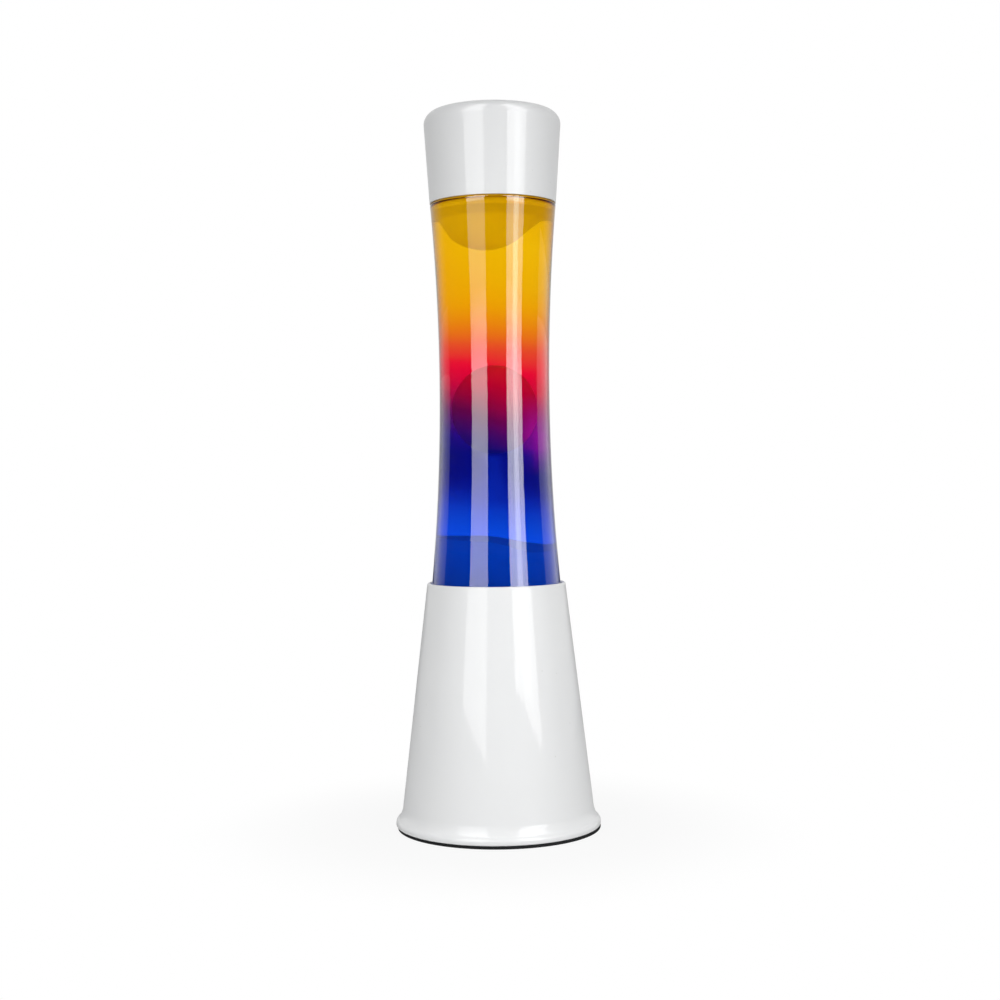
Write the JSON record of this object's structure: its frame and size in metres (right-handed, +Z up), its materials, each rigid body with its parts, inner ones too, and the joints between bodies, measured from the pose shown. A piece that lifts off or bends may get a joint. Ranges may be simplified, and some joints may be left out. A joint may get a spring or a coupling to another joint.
{
  "type": "liquid motion lamp",
  "caption": "Waisted bottle of graded dyed liquid and wax in a conical base over a reflector bulb, under a tapered cap.",
  "frame": {"origin": "centre of the foot, on the surface that the lamp stands on", "axes": "+Z up along the lamp's axis, +Y towards the cord hole at the back, +X to the right seen from the front"},
  "size_m": [0.1122, 0.1122, 0.3921],
  "materials": {
    "white_enamel": "gloss white stoved enamel on spun metal",
    "foam_pad": "black cellular foam, cut ring",
    "black_rubber": "moulded black rubber",
    "zinc_steel": "zinc-plated pressed steel",
    "black_steel": "satin black paint on pressed steel",
    "aluminium": "plain drawn aluminium",
    "brass": "plain brass",
    "phenolic": "moulded black phenolic",
    "bulb_glass": "blown glass, silvered flank and frosted front",
    "black_glass": "opaque black glass",
    "solder": "soft solder",
    "tungsten": "drawn tungsten",
    "clear_glass": "clear blown flint glass, polished by the fire",
    "tinplate": "lacquered tinplate",
    "liner_plastic": "soft sealing compound",
    "coil_steel": "bright drawn spring wire",
    "dyed_liquid": "clear liquid, dyed blue at the foot through red to amber at the top",
    "wax": "soft smooth translucent paraffin wax"
  },
  "bodies": {
    "base": {"base_shell": "white_enamel", "base_pad": "foam_pad", "cord_grommet": "black_rubber", "bottle_seat": "zinc_steel", "base_plate": "black_steel", "plate_lugs": "zinc_steel", "plate_screws": "zinc_steel", "holder_bracket": "zinc_steel", "bracket_rivets": "aluminium", "holder_nipple": "brass", "nipple_nut": "brass", "holder_body": "phenolic", "holder_sleeve": "brass", "centre_contact": "brass", "terminal_blocks": "brass", "terminal_screws": "zinc_steel"},
    "bulb": {"bulb_glass": "bulb_glass", "bulb_cap": "aluminium", "bulb_insulator": "black_glass", "bulb_contact": "solder", "bulb_stem": "bulb_glass", "bulb_leads": "zinc_steel", "bulb_filament": "tungsten"},
    "bottle": {"bottle_glass": "clear_glass", "crown_cap": "tinplate", "crown_liner": "liner_plastic", "heating_coil": "coil_steel", "liquid": "dyed_liquid", "wax_top": "wax", "wax_pool": "wax"},
    "blob": {"wax_blob": "wax"},
    "cap": {"cap_shell": "white_enamel"}
  },
  "joints": [
    {"name": "bottle_lift", "type": "slide", "parent": "base", "child": "bottle", "axis": [0, 0, 1], "range_m": [0, 0.08]},
    {"name": "cap_lift", "type": "slide", "parent": "bottle", "child": "cap", "axis": [0, 0, 1], "range_m": [0, 0.07]},
    {"name": "bulb_unscrew", "type": "slide", "parent": "base", "child": "bulb", "axis": [0, 0, 1], "range_m": [0, 0.0113]},
    {"name": "blob_drift", "type": "slide", "parent": "bottle", "child": "blob", "axis": [0, 0, 1], "range_m": [-0.0445, 0.06], "deforming": ["liquid"]}
  ]
}
